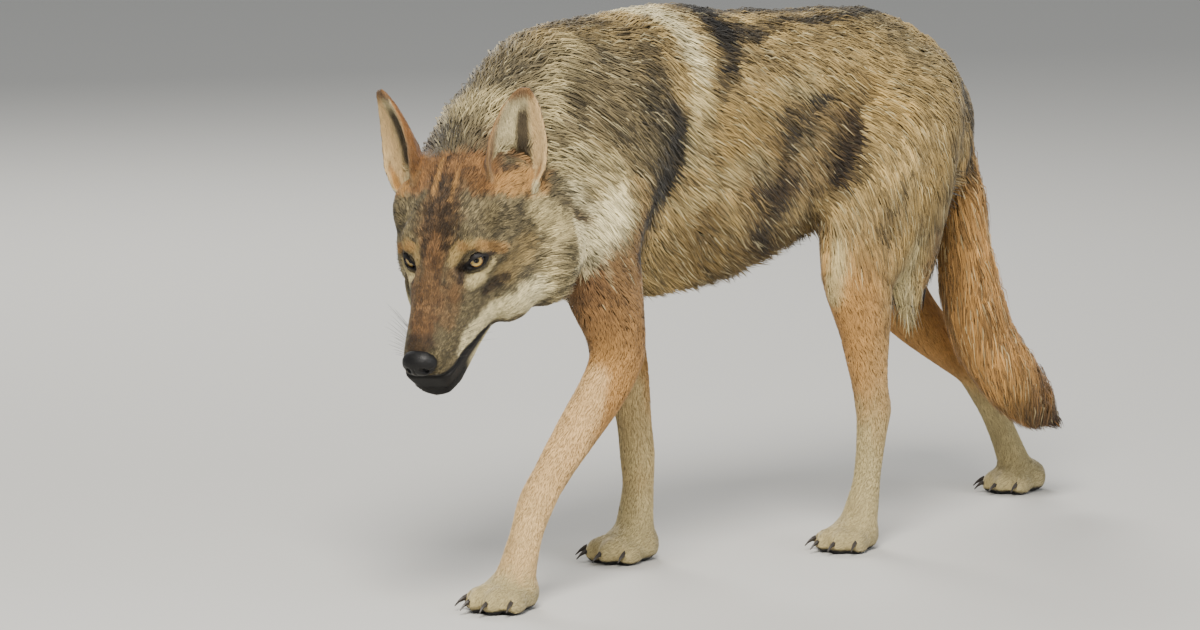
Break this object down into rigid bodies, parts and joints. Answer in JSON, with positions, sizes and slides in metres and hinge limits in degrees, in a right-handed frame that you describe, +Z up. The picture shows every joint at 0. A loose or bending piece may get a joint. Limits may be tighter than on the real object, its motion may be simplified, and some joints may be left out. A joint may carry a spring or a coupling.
{
  "type": "wolf model",
  "caption": "Life-size still model of a grey wolf in summer coat, walking with its head low, for display.",
  "frame": {"origin": "on the floor, under the middle of the model's bounding box", "axes": "+X towards the front paws and the muzzle, +Y to the wolf's left, +Z up"},
  "size_m": [1.272, 0.2622, 0.6883],
  "materials": {
    "coat_grey": "matte fur, grey and buff",
    "coat_tan": "matte short fur, tan",
    "coat_rust": "matte fur, reddish brown",
    "nose_leather": "moist pebbled black",
    "eye_amber": "glossy amber",
    "claw_horn": "satin dark horn"
  },
  "bodies": {
    "root": {"claw_front_left_1": "claw_horn", "claw_front_left_2": "claw_horn", "claw_front_left_3": "claw_horn", "claw_front_left_4": "claw_horn", "claw_front_right_1": "claw_horn", "claw_front_right_2": "claw_horn", "claw_front_right_3": "claw_horn", "claw_front_right_4": "claw_horn", "claw_hind_left_1": "claw_horn", "claw_hind_left_2": "claw_horn", "claw_hind_left_3": "claw_horn", "claw_hind_left_4": "claw_horn", "claw_hind_right_1": "claw_horn", "claw_hind_right_2": "claw_horn", "claw_hind_right_3": "claw_horn", "claw_hind_right_4": "claw_horn", "ear_left": "coat_rust", "ear_right": "coat_rust", "eye_left": "eye_amber", "eye_right": "eye_amber", "nose": "nose_leather", "front_left_upper_arm": "coat_tan", "front_left_forearm": "coat_tan", "front_left_foot": "coat_tan", "front_right_upper_arm": "coat_tan", "front_right_forearm": "coat_tan", "front_right_foot": "coat_tan", "hind_left_thigh": "coat_grey", "hind_left_shank": "coat_tan", "hind_left_foot": "coat_tan", "hind_right_thigh": "coat_grey", "hind_right_shank": "coat_tan", "hind_right_foot": "coat_tan", "head": "coat_grey", "jaw": "coat_tan", "neck": "coat_grey", "trunk": "coat_grey", "tail": "coat_rust"}
  },
  "joints": []
}
